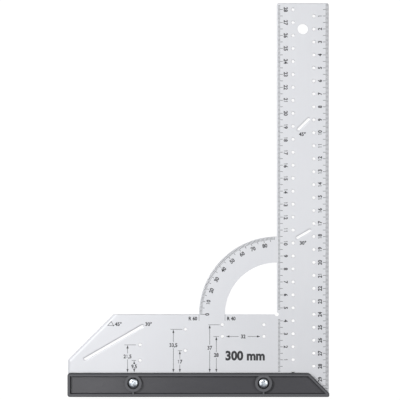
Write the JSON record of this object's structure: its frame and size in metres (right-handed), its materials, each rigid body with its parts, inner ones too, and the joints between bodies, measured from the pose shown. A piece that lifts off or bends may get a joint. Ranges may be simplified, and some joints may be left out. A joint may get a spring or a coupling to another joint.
{
  "type": "set square",
  "caption": "Marking set square: a graduated plate with quarter-ring protractor, marking holes and slots, screwed between the two halves of a stop rail.",
  "frame": {"origin": "middle of the whole footprint, on the surface that the rail's rear face rests on", "axes": "+X across the foot towards the ruler, +Y up along the ruler from the stop rail, +Z out of the printed face"},
  "size_m": [0.201, 0.303, 0.014],
  "materials": {
    "anodised_aluminium": "pale satin anodised sheet, fine brushed grain along the ruler",
    "moulded_black_plastic": "fine matt spark texture, slightly polished on the edges",
    "zinc_plated_steel": "bright bluish zinc plating",
    "printed_ink": "dark grey printed graduations"
  },
  "bodies": {
    "plate_and_rear_rail": {"square_plate": "anodised_aluminium", "stop_rear_shell": "moulded_black_plastic", "clamp_nut_left": "zinc_plated_steel", "clamp_nut_right": "zinc_plated_steel"},
    "front_rail": {"stop_front_shell": "moulded_black_plastic"},
    "left_screw": {"clamp_screw_left": "zinc_plated_steel"},
    "right_screw": {"clamp_screw_right": "zinc_plated_steel"}
  },
  "joints": [
    {"name": "front_rail_lift", "type": "slide", "parent": "plate_and_rear_rail", "child": "front_rail", "axis": [0, 0, 1], "range_m": [0, 0.0021]},
    {"name": "left_screw_turn", "type": "hinge", "parent": "front_rail", "child": "left_screw", "pos_m": [-0.05, -0.141, 0.0108], "axis": [0, 0, 1], "range_deg": [0, 1080]},
    {"name": "right_screw_turn", "type": "hinge", "parent": "front_rail", "child": "right_screw", "pos_m": [0.05, -0.141, 0.0108], "axis": [0, 0, 1], "range_deg": [0, 1080]}
  ],
  "couplings": [
    {"joint": "right_screw_turn", "follows": "left_screw_turn", "ratio": 1},
    {"joint": "front_rail_lift", "follows": "left_screw_turn", "m_per_rad": 0.00011141}
  ]
}
